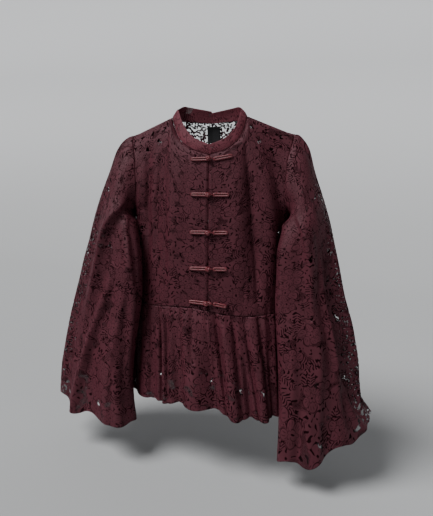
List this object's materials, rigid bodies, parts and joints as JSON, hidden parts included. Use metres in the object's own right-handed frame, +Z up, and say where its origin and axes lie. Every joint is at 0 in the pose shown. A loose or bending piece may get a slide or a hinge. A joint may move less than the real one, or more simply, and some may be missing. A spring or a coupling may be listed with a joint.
{
  "type": "lace shirt",
  "caption": "Hollow lace blouse with a stand collar, frog closures, gathered peplum and wide bell sleeves, filled out as if worn.",
  "frame": {"origin": "midway between the high shoulder points, where the collar meets the shoulder seams", "axes": "+Z up along the standing wearer, front faces -Y, wearer's left is +X"},
  "size_m": [0.6268, 0.2128, 0.6786],
  "materials": {
    "lace": "matt, see-through between its motifs",
    "satin_cord": "satin",
    "label_tape": "smooth woven tape"
  },
  "bodies": {
    "root": {"front_left": "lace", "front_right": "lace", "back": "lace", "collar": "lace", "peplum_front_left": "lace", "peplum_front_right": "lace", "peplum_back": "lace", "sleeve_left_front": "lace", "sleeve_left_back": "lace", "sleeve_right_front": "lace", "sleeve_right_back": "lace", "frog_1_loop": "satin_cord", "frog_1_knot": "satin_cord", "frog_2_loop": "satin_cord", "frog_2_knot": "satin_cord", "frog_3_loop": "satin_cord", "frog_3_knot": "satin_cord", "frog_4_loop": "satin_cord", "frog_4_knot": "satin_cord", "frog_5_loop": "satin_cord", "frog_5_knot": "satin_cord", "neck_label": "label_tape"}
  },
  "joints": []
}
